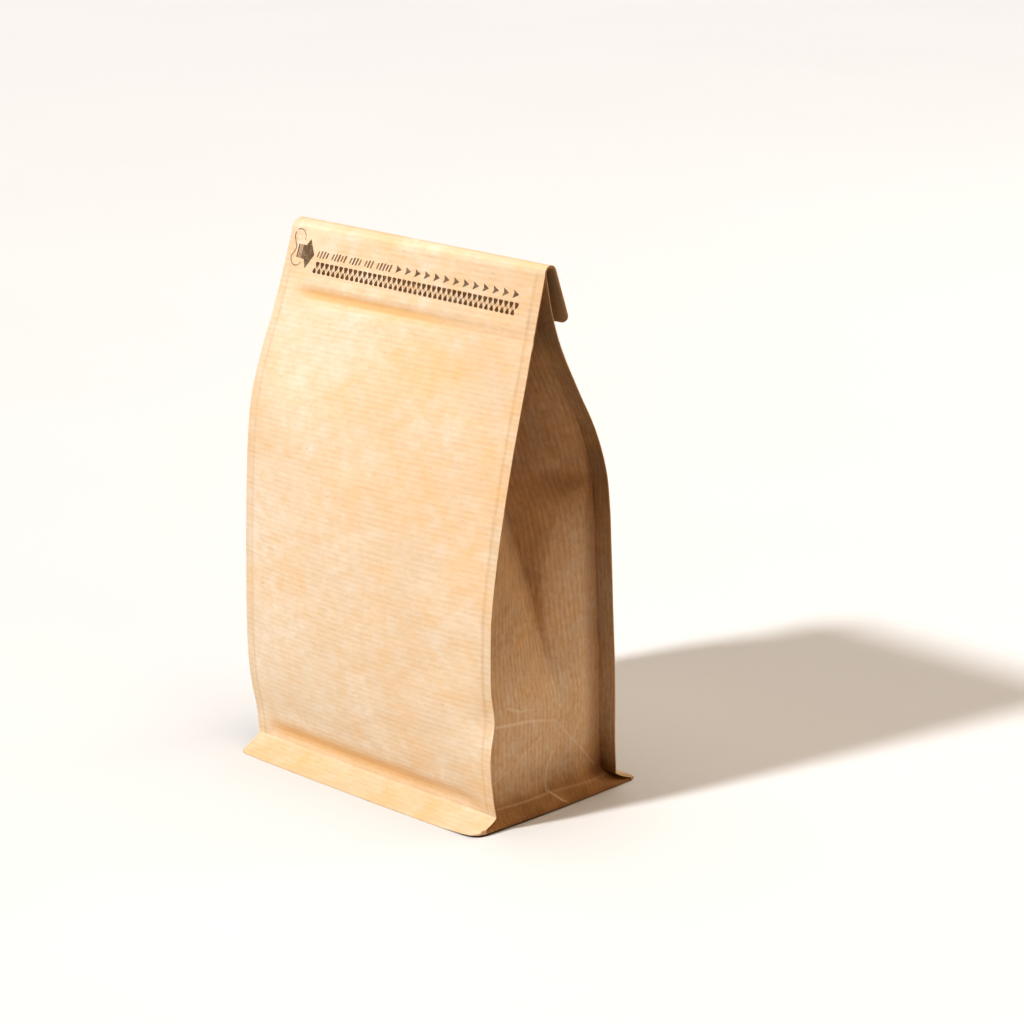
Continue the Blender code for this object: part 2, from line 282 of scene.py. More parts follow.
# A row of teeth: where it runs, a tooth's width, length and turn, a seed for their sizes, and
# half a tooth's outline from its point up as (share of width, share of length).
UPPER_TEETH = (UPPER_ROW, 2.0 * MM, 2.25 * MM, radians(-4), 2.0, (
    (0.2, -0.95), (0.42, -0.6), (0.68, -0.2), (0.93, 0.2), (1.0, 0.6), (0.95, 0.9), (0.7, 1.0)))
LOWER_TEETH = (LOWER_ROW, 1.9 * MM, 2.05 * MM, radians(176), 7.0, (
    (0.25, -0.92), (0.45, -0.6), (0.68, -0.2), (0.93, 0.2), (0.97, 0.6), (0.8, 0.88), (0.4, 1.0)))
ARROW_HEAD = ((-61.4, 201.4), (-59.4, 201.3), (-57.8, 198.0), (-53.9, 203.6), (-57.4, 209.2),
              (-59.3, 206.6), (-61.2, 206.7))
ARROW_STRIPE_ENDS = (201.5, 206.7)  # heights in mm
ARROW_STRIPE_LEAN = 0.15            # in mm
# Each stripe of the arrow's tail as (left edge, width) in mm.
ARROW_STRIPES = ((-63.9, 0.75), (-62.75, 0.35), (-62.05, 0.35))
TAB_LINE_WIDTH = 0.42 * MM
TAB_LINE_STEPS = 64
TAB_PATH = (
    (-60.7, 208.6), (-61.1, 210.6), (-62.6, 212.0), (-64.9, 212.3), (-66.8, 211.2), (-67.2, 209.2),
    (-66.0, 207.2), (-64.9, 205.5), (-65.6, 203.4), (-67.1, 201.6), (-66.3, 199.5),
    (-64.1, 198.5), (-62.0, 198.8), (-60.8, 200.0))

# ---- the looks of paper and ink, as strengths in their materials ----
# Uneven places as (scale, detail, roughness, squeeze along u, turn, where they start and end).
MOTTLE = {
    "Clouds": (34, 3, 0.55, 0.8, 0.0, 0.28, 0.72),
    "Spots": (210, 3, 0.6, 0.7, 0.0, 0.3, 0.72),
    "Scuffs": (470, 4, 0.7, 0.75, radians(11), 0.34, 0.68),
}
DARK_FIBRES = 0.3
PALE_FIBRES = 0.14
# Each as (share everywhere, share added in a gusset).
SPOTS = (0.75, 0.25)
STREAKS = (0.14, 0.2)
SCUFFS = (0.12, 0.33)
GUSSET_RIBS = 0.8                   # contrast added in a gusset, as a share of the ribs' own
RIB_GROOVE = -0.55
TOOTH_RELIEF = 0.35
FIBRE_RELIEF = 0.25
CREASE_RELIEF = 1.6
PAPER_BUMP = 0.8
PAPER_SPECULAR = 0.35
PAPER_SHEEN = 0.08
SPOT_ROUGHNESS = 0.12
INK_ROUGHNESS = (0.1, 0.55)
INK_BUMP = 0.5
INK_FIBRES = 0.3

# ---- stage ----
FLOOR_SIZE = 14.0
FLOOR_DROP = -0.0001
FLOOR_CLOUDS = 0.985                # the floor's darker clouds, as a share of its colour
FLOOR_ROUGHNESS = 0.8
FLOOR_SPECULAR = 0.2
# Each lamp's place, its colour and its size: an angle for a far one, else a width.
KEY_LAMP = ((-0.453, -1.755, 1.525), radians(5.3), (1.0, 1.0, 1.0))
TOP_LAMP = ((0.0, 0.1, 1.8), radians(70), (1.0, 0.87, 0.76))
BACK_LAMP = ((0.7, 1.6, 0.6), 0.8, (1.0, 0.86, 0.62))
SIDE_LAMP = ((1.7, -0.35, 0.55), 0.9, (1.0, 0.62, 0.34))
CAMERA_PLACE = (0.8111, -0.7993, 0.4328)
CAMERA_AZIMUTH = radians(43.90)
CAMERA_PITCH = radians(16.0)
CAMERA_ROLL = radians(0.27)
SENSOR_WIDTH = 36.0
VIEW_TRANSFORM = "Standard"
VIEW_LOOK = "Very High Contrast"
VIEW_EXPOSURE = 0.0


def clamp(value):
    """Keep a share between nothing and all."""
    return min(1.0, max(0.0, value))


def ease(value, start, end):
    """Rise smoothly from 0 at start to 1 at end."""
    share = clamp((value - start) / (end - start))
    return share * share * (3 - 2 * share)


def mix(low, high, share):
    """Blend two numbers."""
    return low + (high - low) * share


def bump(value, centre, spread):
    """A soft hill of height 1 over centre."""
    away = (value - centre) / spread
    return exp(-away * away)


def curve(points, at, column=1):
    """Read a smooth curve through points whose first number is the position."""
    at = min(max(at, points[0][0]), points[-1][0])
    last = len(points) - 1
    i = next(k for k in range(last) if at <= points[k + 1][0])

    def slope(k):
        before, after = points[max(k - 1, 0)], points[min(k + 1, last)]
        return (after[column] - before[column]) / (after[0] - before[0])

    start, end = points[i][0], points[i + 1][0]
    low, high = points[i][column], points[i + 1][column]
    span = end - start
    t = (at - start) / span
    return (low * (1 + 2 * t) * (1 - t) ** 2 + high * t * t * (3 - 2 * t)
            + span * t * (1 - t) * ((1 - t) * slope(i) - t * slope(i + 1)))


class End:
    """One end of the bag, left or right, seen from the side."""

    def __init__(self, front, back, ridge, sheet):
        self.radius, self.centre, self.lean_in, self.lean_out = ridge
        self.sheet = sheet
        self.front = front
        meets = self.ridge(0.0)[1]
        self.back = back + [(meets[1], meets[0])]

    def skirt(self, height):
        """Front and back points of the skirt at a height below its crease."""
        reach = curve(SKIRT_REACH, height)
        front = mix(self.front[0][1], -SKIRT_HALF_DEPTH, reach)
        back = mix(self.back[0][1], SKIRT_HALF_DEPTH, reach)
        return (front, height), (back, height)

    def wall(self, share):
        """Front and back points of the wall, share being 0 at the skirt and 1 at the ridge."""
        points = []
        for edge in (self.front, self.back):
            height = mix(edge[0][0], edge[-1][0], share)
            points.append((curve(edge, height), height))
        return tuple(points)

    def ridge(self, share):
        """Outer and inner points of the ridge, share going from the front to the flap."""
        angle = mix(pi - self.lean_in, self.lean_out, share)
        return tuple((self.centre[0] + r * cos(angle), self.centre[1] + r * sin(angle))
                     for r in (self.radius, self.radius - self.sheet))

    def flap(self, distance):
        """Outer and inner points of the flap, at a distance down from the ridge."""
        step = (distance * sin(self.lean_out), -distance * cos(self.lean_out))
        return tuple((y + step[0], z + step[1]) for y, z in self.ridge(1.0))


def smooth_noise(x, z, scale, seed):
    """Even noise between about -1 and 1 over a panel, its hills about as wide as scale."""
    return noise.noise(Vector((x / scale, seed, z / scale)))


def layered_noise(x, z, layers, seed=0.0, start=0.0):
    """Sum layers of smooth noise on top of a start."""
    total = start
    for weight, scale, layer_seed in layers:
        total += weight * smooth_noise(x, z, scale * MM, seed + layer_seed)
    return total


def dent(x, z, middle, radii, turn=0.0):
    """A soft round or long hollow of depth 1, turned by an angle in its panel."""
    across, up = x - middle[0] * MM, z - middle[1] * MM
    along = (across * cos(turn) + up * sin(turn)) / (radii[0] * MM)
    aside = (up * cos(turn) - across * sin(turn)) / (radii[1] * MM)
    return exp(-along * along - aside * aside)


def zip_trough_share(x):
    """How deep the hollow under the inner zip is at x, as a share of its full depth."""
    return ease(x, -64 * MM, -50 * MM) * (1 - 0.75 * ease(x, -5 * MM, 55 * MM))


def panel_relief(x, z, back):
    """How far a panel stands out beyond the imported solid's even face."""
    inner = PANEL_HALF_WIDTH - (BACK_FIN if back else FRONT_FIN)
    middle = 1 - ease(abs(x), 0.8 * inner, inner)
    hollow = middle if back else 1 - ease(abs(x), 0.72 * inner, inner)
    out = -UNDERCUT * bump(z, UNDERCUT_HEIGHT, UNDERCUT_SPREAD) * hollow
    if not back:
        out -= ZIP_TROUGH * bump(z, ZIP_TROUGH_HEIGHT, ZIP_TROUGH_SPREAD) * zip_trough_share(x)
        rib = ZIP_RIB * bump(z, ZIP_RIB_HEIGHT, ZIP_RIB_SPREAD)
        out += rib * ease(x, -64 * MM, -56 * MM) * middle
    out -= FIN_STEP * ease(abs(x), inner - 0.2 * MM, inner + 0.7 * MM) * ease(z, 8 * MM, 20 * MM)
    for place, radii, turn, depth in (BACK_DENTS if back else FRONT_DENTS):
        out -= depth * MM * dent(x, z, place, radii, turn)
    if back:
        calm = 1 - 0.8 * ease(z, 176 * MM, 200 * MM)
    else:
        calm = 1 - 0.75 * ease(z, 186 * MM, 196 * MM)
    calm = ease(z, 8 * MM, 30 * MM) * calm
    crumples = layered_noise(x, z, BACK_CRUMPLES if back else FRONT_CRUMPLES)
    return out + CRUMPLE * calm * middle * crumples


class Station:
    """One outline round the bag: its points at both ends, its width and how it is folded."""

    def __init__(self, left, right, half_width, kind):
        self.ends = (left, right)
        self.half_width = half_width
        self.height = (left[0][1] + right[0][1]) / 2
        self.kind = kind

    def swell(self, x, back, z):
        """How far the filling and the paper's own relief push a panel out at x."""
        if self.kind == "skirt":
            across = max(0.0, 1 - abs(x / self.half_width) ** PILLOW_POWER)
            return across * SKIRT_BOW
        if self.kind != "wall":
            return 0.0
        amount = BACK_PILLOW if back else FRONT_PILLOW
        rise = ease(z, SKIRT_CREASE_HEIGHT, PILLOW_FULL_FROM)
        fall = ease(z, PILLOW_FULL_TO, PILLOW_ENDS_AT)
        across = max(0.0, 1 - abs(x / (self.half_width - FRONT_FIN)) ** PILLOW_POWER)
        even = across * (amount * rise * (1 - fall) + SKIRT_BOW * (1 - rise))
        return even + panel_relief(x, z, back)

    def panel_point(self, x, back):
        """A point of the front (back=0) or back (back=1) panel."""
        share = (x / PANEL_HALF_WIDTH + 1) / 2
        y = mix(self.ends[0][back][0], self.ends[1][back][0], share)
        z = mix(self.ends[0][back][1], self.ends[1][back][1], share)
        out = self.swell(x, back, z)
        if not back and self.kind == "wall":
            away = Vector((x - PANEL_HALF_WIDTH, z - PINCH_HEIGHT)).length / PINCH_SPREAD
            out -= PINCH_DEPTH * exp(-away * away)
            if x > PANEL_HALF_WIDTH - 1 * MM:
                x -= TEAR_NOTCH * bump(z, TEAR_NOTCH_HEIGHT, 0.8 * MM)
        y += out if back else -out
        if z < SKIRT_CREASE_HEIGHT:
            y = self.trim_skirt_corner(x, y, back)
            z += self.corner_lift(x, y) * (1 - z / SKIRT_CREASE_HEIGHT)
        return Vector((x, y, z))

    def trim_skirt_corner(self, x, y, back):
        """Keep a skirt point inside the footprint's rounded corner."""
        radius = SOFT_CORNER_RADIUS if x > 0 and not back else SKIRT_CORNER_RADIUS
        over = abs(x) - (self.half_width - radius)
        if over <= 0:
            return y
        limit = SKIRT_HALF_DEPTH - radius + sqrt(max(0.0, radius ** 2 - over ** 2))
        return max(-limit, min(limit, y))

    def corner_lift(self, x, y):
        """How far the skirt's front right corner is curled up off the floor."""
        away = Vector((x - SKIRT_HALF_WIDTH, y + SKIRT_HALF_DEPTH)).length / CURL_SPREAD
        return CURL_HEIGHT * exp(-away * away)

    def side(self, sign):
        """Points from the front fin's edge to the back fin's edge, round one gusset."""
        x = sign * self.half_width
        front, back = self.panel_point(x, 0), self.panel_point(x, 1)
        gap = (back - front).length
        fin = min(FIN_THICKNESS / gap, FIN_MAX_SHARE)
        root = FIN_ROOT * fin
        height = self.height
        stands = ease(height, 0, SIDE_STRIP_HEIGHT) if self.kind in ("wall", "skirt") else 0.0
        shut = ease(height, GUSSET_CLOSES_FROM, GUSSET_SHUT_AT)
        keep = stands * (1 - shut)
        lines = [(0.0, FRONT_FIN)]
        for line in (VALLEY, BULGE, TURN):
            lines.append((curve(line, height, 1), curve(line, height, 2)))
        lines.append((1.0, BACK_FIN))
        points = [front.lerp(back, fin)]
        for k, count in enumerate(GUSSET_COLUMNS):
            (t0, d0), (t1, d1) = lines[k], lines[k + 1]
            for i in range(count):
                u = i / count
                share, inset = mix(t0, t1, u), mix(d0, d1, u)
                inset -= sin(pi * u) * FACET_BOWS[k] * (1 - ease(height, *FACETS_FLATTEN))
                inset += (GUSSET_CRUMPLE * ease(height, *GUSSET_CRUMPLES_RISE)
                          * sin(pi * share) * self.gusset_noise(share, sign))
                if self.kind == "wall":
                    for middle, radii, turn, depth in GUSSET_DENTS:
                        place = share * GUSSET_PAPER_WIDTH
                        inset += depth * MM * dent(place, height, middle, radii, turn)
                points.append(self.gusset_point(front, back, root, share, keep * inset, sign))
        points.append(self.gusset_point(front, back, root, 1.0, keep * BACK_FIN, sign))
        points.append(front.lerp(back, 1 - fin))
        return points

    def gusset_noise(self, share, sign):
        """Small uneven hollows of the gusset's paper."""
        across = share * GUSSET_PAPER_WIDTH
        return layered_noise(across, self.height, GUSSET_CRUMPLES, 30.2 if sign > 0 else 41.7)

    def gusset_point(self, front, back, root, share, inset, sign):
        """A point of the gusset, share of the way from front to back."""
        point = front.lerp(back, mix(root, 1 - root, share))
        bow = SKIRT_BOW * sin(pi * share) * (1 - ease(self.height, 0, SIDE_STRIP_HEIGHT))
        point.x -= sign * (inset - (bow if self.kind == "skirt" else 0.0))
        return point


def panel_columns(fin, steps):
    """Shares of the panel's half width, from the middle to the edge, finer on the fin."""
    inner = 1 - fin / PANEL_HALF_WIDTH
    shares = [inner * i / steps for i in range(steps)]
    return shares + [mix(inner, 1, s) for s in (-0.04, 0.02, 0.08, 0.18, 0.35, 0.6, 0.85, 1.0)]


FRONT_SHARES = panel_columns(FRONT_FIN, FRONT_COLUMNS // 2)
BACK_SHARES = panel_columns(BACK_FIN, BACK_COLUMNS // 2)


def hollow_painted_shade(x, z):
    """Painted shade, orange, in the hollow under the inner zip and above the skirt."""
    zip_band = bump(z, ZIP_TROUGH_HEIGHT + 0.6 * MM, 2.4 * MM) * zip_trough_share(x)
    along = ease(x, -66 * MM, -50 * MM) * (1 - 0.5 * ease(x, 10 * MM, 62 * MM))
    low_band = bump(z, 10.5 * MM, 4.0 * MM) * along
    return max(ZIP_PAINTED_SHADE * zip_band, LOW_PAINTED_SHADE * low_band)


def panel_warmth_and_painted_light(x, z, seed):
    """Uneven warm blotches, and on the front, of seed 0, painted light in two paler places and
    painted shade in a richer one.
    """
    blotch = layered_noise(x, z, BLOTCHES, seed, 0.5)
    pale = painted_shade_spot = 0.0
    if seed == 0:
        # Painted light in the paler places on the front's upper and lower left; painted shade in
        # the richer place at its upper right.
        pale = dent(x, z, (-38, 172), (22, 17)) + 0.6 * dent(x, z, (-42, 34), (34, 26))
        painted_shade_spot = dent(x, z, (22, 172), (34, 17))
    return clamp(BLOTCH_WARMTH * blotch * (1 - 0.4 * pale) + 0.14 * painted_shade_spot - 0.3 * pale)


def gusset_seal_and_shade(station, column):
    """How brown a gusset's paper is at a column, counted from the front: its sealed foot, and
    painted shade in its folds, by the back fin and under the flap.
    """
    if station.kind == "flap":
        return 1.0
    fold = sum(GUSSET_COLUMNS[:2])
    brown = curve(GUSSET_SEAL_AND_SHADE, station.height)
    brown += curve(FOLD_PAINTED_SHADE, station.height) * (1 - ease(column, fold - 4, fold + 4))
    if column > sum(GUSSET_COLUMNS[:3]):
        return min(1.0, brown + TURN_PAINTED_SHADE)
    return brown


def outline(station, paper_front, paper_back, paper_side):
    """One row of the sheet: (point, u, v, brown of seals and painted shade, gusset, warmth with
    painted light and shade) from the middle of the back.

    Each panel keeps its own island of paper coordinates, with the ribs along u.
    """
    width = station.half_width
    sealed = 0.0
    if station.kind == "skirt":
        sealed = SKIRT_SEAL * (1 - ease(station.height, *SKIRT_SEAL_FADES))
    row = []

    def panel(share, back):
        x = share * width
        point = station.panel_point(x, back)
        edge = PANEL_HALF_WIDTH - (BACK_FIN if back else FRONT_FIN)
        fin = ease(abs(x), edge, edge + 0.5 * MM)
        brown = max(sealed, (BACK_FIN_SEAL if back else FRONT_FIN_SEAL) * fin)
        warm = panel_warmth_and_painted_light(x, point.z, 17.0 if back else 0.0)
        if station.kind == "wall" and not back:
            brown += FIN_LINE * bump(abs(x), width - FRONT_FIN, 0.45 * MM)
            # painted shade in the hollows under the zip and above the skirt
            warm = max(warm, hollow_painted_shade(x, point.z))
            # painted shade towards the front's upper right
            brown += FRONT_PAINTED_SHADE * ease(point.z, 10 * MM, 150 * MM) * ease(x, -60 * MM, 50 * MM)
        if station.kind == "skirt" and not back:
            warm += SKIRT_WARMTH
        if back:
            row.append((point, BACK_ISLAND + x, paper_back, brown, 0.0, warm))
        else:
            row.append((point, x, paper_front, brown, 0.0, warm))

    def side(sign):
        points = station.side(sign)
        if sign < 0:
            points.reverse()
        steps = [0.0]
        for before, after in zip(points, points[1:]):
            steps.append(steps[-1] + (after - before).length)
        middle = steps[-1] / 2
        island = RIGHT_ISLAND if sign > 0 else LEFT_ISLAND
        for k, (point, step) in enumerate(zip(points, steps)):
            column = k if sign > 0 else len(points) - 1 - k
            brown = gusset_seal_and_shade(station, column)
            warm = GUSSET_WARMTH * panel_warmth_and_painted_light(point.y, point.z, 29.0 + 8 * sign)
            row.append((point, island + paper_side, sign * (step - middle), brown, 1.0, warm))

    for share in BACK_SHARES:
        panel(-share, True)
    side(-1)
    for share in FRONT_SHARES[:0:-1]:
        panel(-share, False)
    for share in FRONT_SHARES:
        panel(share, False)
    side(1)
    for share in reversed(BACK_SHARES):
        panel(share, True)
    return row


def wall_half_width(height):
    """Half the width of the panels, which widen a little above the skirt."""
    return mix(SKIRT_HALF_WIDTH, PANEL_HALF_WIDTH, ease(height, 0, WIDTH_SETTLES_AT))


def stations(left_end, right_end):
    """Every outline of the shell, from the floor over the ridge to the flap's free edge."""
    found = []
    for height in SKIRT_HEIGHTS:
        found.append(Station(left_end.skirt(height), right_end.skirt(height),
                             wall_half_width(height), "skirt"))
    wall_height = FRONT_EDGE_RIGHT[-1][0] - FRONT_EDGE_RIGHT[0][0]
    wall_steps = round(wall_height / WALL_STEP)
    for i in range(wall_steps):
        left, right = left_end.wall(i / wall_steps), right_end.wall(i / wall_steps)
        found.append(Station(left, right, wall_half_width(left[0][1]), "wall"))
    for i in range(RIDGE_STEPS + 1):
        share = i / RIDGE_STEPS
        found.append(Station(left_end.ridge(share), right_end.ridge(share),
                             PANEL_HALF_WIDTH, "ridge"))
    straight = FLAP_LENGTH - FLAP_CORNER_RADIUS
    drops = [(straight * (i + 1) / FLAP_STEPS, 0.0) for i in range(FLAP_STEPS)]
    for i in range(1, CORNER_STEPS + 1):
        angle = pi / 2 * i / CORNER_STEPS
        drops.append((straight + FLAP_CORNER_RADIUS * sin(angle),
                      FLAP_CORNER_RADIUS * (1 - cos(angle))))
    for distance, trim in drops:
        found.append(Station(left_end.flap(distance), right_end.flap(distance),
                             PANEL_HALF_WIDTH - trim, "flap"))
    return found


def base_rows(row):
    """The rows of the recessed base, from its middle out to the skirt's edge on the floor."""
    rows = []
    for share, recess in BASE_STEPS:
        ring = []
        for point, *_ in row:
            x, y = point.x * share, point.y * share
            z = recess + point.z * share
            ring.append((Vector((x, y, z)), BASE_ISLAND + x, y, ease(share, 0.84, 0.9), 1.0, 0.0))
        rows.append(ring)
    return rows


def paper_rows(left_end, right_end):
    """All rows of the sheet, with how far along the paper each lies."""
    found = stations(left_end, right_end)
    travelled = [0.0, 0.0, 0.0]
    before = None
    rows = []
    for station in found:
        here = (station.panel_point(0.0, 0), station.panel_point(0.0, 1),
                Vector((0, 0, station.height)))
        if before:
            for k in range(3):
                travelled[k] += (here[k] - before[k]).length
        before = here
        rows.append(outline(station, *travelled))
    return base_rows(rows[0]) + rows


def deselect_all():
    """Leave nothing selected and no object in edit mode."""
    if bpy.context.object and bpy.context.object.mode != "OBJECT":
        bpy.ops.object.mode_set(mode="OBJECT")
    bpy.ops.object.select_all(action="DESELECT")


def activate(piece):
    """Select one piece alone and make it the active one."""
    deselect_all()
    piece.select_set(True)
    bpy.context.view_layer.objects.active = piece


def edit_all():
    """Go into edit mode with everything selected."""
    bpy.ops.object.mode_set(mode="EDIT")
    bpy.ops.mesh.select_all(action="SELECT")


def close_edit():
    """Turn every face outward and leave edit mode."""
    bpy.ops.mesh.select_all(action="SELECT")
    bpy.ops.mesh.normals_make_consistent(inside=False)
    bpy.ops.object.mode_set(mode="OBJECT")


def named(name):
    """Give the object just added its name and return it."""
    piece = bpy.context.object
    piece.name = name
    piece.data.name = name
    return piece


def roll_sheet(name, rows):
    """Roll a flat sheet of paper round the rows and close its seam and both ends."""
    columns = len(rows[0])
    deselect_all()
    bpy.ops.mesh.primitive_grid_add(x_subdivisions=columns - 1, y_subdivisions=len(rows) - 1,
                                    size=2.0, calc_uvs=True)
    sheet = named(name)
    mesh = sheet.data
    place = []
    for vertex in mesh.vertices:
        i = round((vertex.co.x + 1) / 2 * (columns - 1))
        j = round((vertex.co.y + 1) / 2 * (len(rows) - 1))
        place.append(rows[j][i])
    mesh.vertices.foreach_set("co", [value for point, *_ in place for value in point])
    uv_map = mesh.uv_layers[0]
    uv_map.name = PAPER_UV
    for loop in mesh.loops:
        uv_map.data[loop.index].uv = place[loop.vertex_index][1:3]
    for k, label in ((3, SEAL_AND_SHADE_ATTRIBUTE), (4, GUSSET_ATTRIBUTE), (5, WARM_AND_SHADE_ATTRIBUTE)):
        layer = mesh.attributes.new(label, "FLOAT", "POINT")
        layer.data.foreach_set("value", [spot[k] for spot in place])
    mesh.update()

    edit_all()
    bpy.ops.mesh.remove_doubles(threshold=WELD_DISTANCE)
    bpy.ops.mesh.select_all(action="DESELECT")
    bpy.ops.mesh.select_mode(type="EDGE")
    bpy.ops.mesh.select_non_manifold()
    bpy.ops.mesh.fill_holes(sides=0)
    close_edit()
    bpy.ops.object.shade_smooth_by_angle(angle=SMOOTH_ANGLE)
    return sheet


def finish_piece(piece, material):
    """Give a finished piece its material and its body."""
    piece.data.materials.clear()
    piece.data.materials.append(material)
    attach(piece, "root")


# ---- shader parts ----

PAPER_INPUT = ("Paper", "NodeSocketVector", (0, 0, 0))


def new_group(name, inputs, outputs):
    """Start a node group and return it with what it is given and what it results in."""
    group = bpy.data.node_groups.new(name, "ShaderNodeTree")
    for label, kind, default in inputs:
        socket = group.interface.new_socket(name=label, in_out="INPUT", socket_type=kind)
        socket.default_value = default
    for label in outputs:
        group.interface.new_socket(name=label, in_out="OUTPUT", socket_type="NodeSocketFloat")
    given, result = group.nodes.new("NodeGroupInput"), group.nodes.new("NodeGroupOutput")
    return group, given.outputs, result.inputs


def feed(tree, socket, value):
    """Link a socket to another, or set its value; None leaves it as it is."""
    if isinstance(value, bpy.types.NodeSocket):
        tree.links.new(value, socket)
    elif value is not None:
        socket.default_value = value


def math_node(tree, operation, first, second=None, third=None, clamped=False):
    """Add a Math node fed by sockets or numbers and return its result."""
    node = tree.nodes.new("ShaderNodeMath")
    node.operation = operation
    node.use_clamp = clamped
    for socket, value in zip(node.inputs, (first, second, third)):
        feed(tree, socket, value)
    return node.outputs[0]


def vector_node(tree, operation, first, second=None):
    """Add a Vector Math node fed by sockets or vectors and return the node."""
    node = tree.nodes.new("ShaderNodeVectorMath")
    node.operation = operation
    for socket, value in zip(node.inputs, (first, second)):
        feed(tree, socket, value)
    return node


def noise_node(tree, vector, scale, detail=2.0, rough=0.5, stretch=(1, 1, 1), turn=0.0):
    """Add a Noise texture on a stretched and turned vector and return its value."""
    mapping = tree.nodes.new("ShaderNodeMapping")
    mapping.inputs["Scale"].default_value = stretch
    mapping.inputs["Rotation"].default_value = (0, 0, turn)
    tree.links.new(vector, mapping.inputs["Vector"])
    texture = tree.nodes.new("ShaderNodeTexNoise")
    texture.inputs["Scale"].default_value = scale
    texture.inputs["Detail"].default_value = detail
    texture.inputs["Roughness"].default_value = rough
    tree.links.new(mapping.outputs[0], texture.inputs["Vector"])
    return texture.outputs["Fac"]


def band(tree, value, low, high):
    """Map value from 0 at low to 1 at high, smoothly and clamped."""
    node = tree.nodes.new("ShaderNodeMapRange")
    node.interpolation_type = "SMOOTHSTEP"
    node.inputs["From Min"].default_value = low
    node.inputs["From Max"].default_value = high
    tree.links.new(value, node.inputs["Value"])
    return node.outputs["Result"]


def ribs_group():
    """Fine parallel ribs that the paper machine leaves, uneven along their length."""
    group, given, result = new_group(
        "paper_ribs", [PAPER_INPUT, ("Pitch", "NodeSocketFloat", 0.0026)], ["Rib", "Streak"])
    split = group.nodes.new("ShaderNodeSeparateXYZ")
    group.links.new(given["Paper"], split.inputs[0])
    wander = noise_node(group, given["Paper"], 60)
    turns = math_node(group, "DIVIDE", split.outputs[1], given["Pitch"])
    turns = math_node(group, "ADD", turns, math_node(group, "MULTIPLY", wander, 0.14))
    wave = math_node(group, "SINE", math_node(group, "MULTIPLY", turns, 2 * pi))
    wave = math_node(group, "MULTIPLY_ADD", wave, 0.5, 0.5)
    fade = noise_node(group, given["Paper"], 130, 3, 0.6, (0.5, 1, 1))
    fade = band(group, fade, 0.3, 0.7)
    rib = math_node(group, "MULTIPLY", wave, math_node(group, "MULTIPLY_ADD", fade, 0.65, 0.35))
    group.links.new(rib, result["Rib"])
    streak = noise_node(group, given["Paper"], 900, 3, 0.6, (0.16, 1, 1))
    group.links.new(streak, result["Streak"])
    return group


def fibres_group():
    """Short pale and dark fibres lying every way, and the paper's fine tooth."""
    group, given, result = new_group(
        "paper_fibres", [PAPER_INPUT, ("Size", "NodeSocketFloat", 1.0)],
        ["Pale", "Dark", "Tooth"])
    scaled = vector_node(group, "SCALE", given["Paper"])
    group.links.new(given["Size"], scaled.inputs["Scale"])
    at = scaled.outputs[0]
    pale = noise_node(group, at, 1500, 2, 0.5, (0.16, 1, 1), radians(24))
    pale_two = noise_node(group, at, 1300, 2, 0.5, (1, 0.2, 1), radians(-31))
    dark = noise_node(group, at, 1000, 2, 0.5, (0.22, 1, 1), radians(-52))
    pale = math_node(group, "MAXIMUM", band(group, pale, 0.62, 0.74),
                     band(group, pale_two, 0.64, 0.76))
    group.links.new(pale, result["Pale"])
    group.links.new(band(group, dark, 0.66, 0.77), result["Dark"])
    group.links.new(noise_node(group, at, 2600, 3, 0.6), result["Tooth"])
    return group


def mottle_group():
    """Soft uneven cloudiness of the pulp, in wide clouds and in small spots."""
    group, given, result = new_group("paper_mottle", [PAPER_INPUT], list(MOTTLE))
    for label, (scale, detail, rough, squeeze, turn, low, high) in MOTTLE.items():
        cloud = noise_node(group, given["Paper"], scale, detail, rough, (squeeze, 1, 1), turn)
        group.links.new(band(group, cloud, low, high), result[label])
    return group


def crease_group():
    """One straight crease in the paper, worn pale, from a start to an end."""
    group, given, result = new_group(
        "paper_crease", [PAPER_INPUT, ("Start", "NodeSocketVector", (0, 0, 0)),
                         ("End", "NodeSocketVector", (1, 0, 0)),
                         ("Width", "NodeSocketFloat", 0.0006)], ["Worn"])
    run = vector_node(group, "SUBTRACT", given["End"], given["Start"])
    reach = vector_node(group, "SUBTRACT", given["Paper"], given["Start"])
    along = vector_node(group, "DOT_PRODUCT", reach.outputs[0], run.outputs[0])
    square = vector_node(group, "DOT_PRODUCT", run.outputs[0], run.outputs[0])
    share = math_node(group, "DIVIDE", along.outputs["Value"], square.outputs["Value"],
                      clamped=True)
    foot = vector_node(group, "SCALE", run.outputs[0])
    group.links.new(share, foot.inputs["Scale"])
    away = vector_node(group, "DISTANCE", reach.outputs[0], foot.outputs[0])
    worn = math_node(group, "DIVIDE", away.outputs["Value"], given["Width"])
    worn = math_node(group, "SUBTRACT", 1.0, worn, clamped=True)
    group.links.new(worn, result["Worn"])
    return group


def place_group(tree, group, values):
    """Place a node group in a tree with its own values and return the node."""
    node = tree.nodes.new("ShaderNodeGroup")
    node.node_tree = group
    for label, value in values.items():
        feed(tree, node.inputs[label], value)
    return node


def blend_colour(tree, amount, first, second, mode="MIX"):
    """Blend two colours or colour sockets by an amount and return the result."""
    node = tree.nodes.new("ShaderNodeMix")
    node.data_type = "RGBA"
    node.blend_type = mode
    feed(tree, node.inputs[0], amount)
    for socket, value in ((node.inputs[6], first), (node.inputs[7], second)):
        plain = not isinstance(value, bpy.types.NodeSocket)
        feed(tree, socket, (*value[:3], 1.0) if plain else value)
    return node.outputs[2]


def paper_vector(tree):
    """The piece's own paper coordinates in metres, as a vector."""
    node = tree.nodes.new("ShaderNodeUVMap")
    node.uv_map = PAPER_UV
    return node.outputs[0]


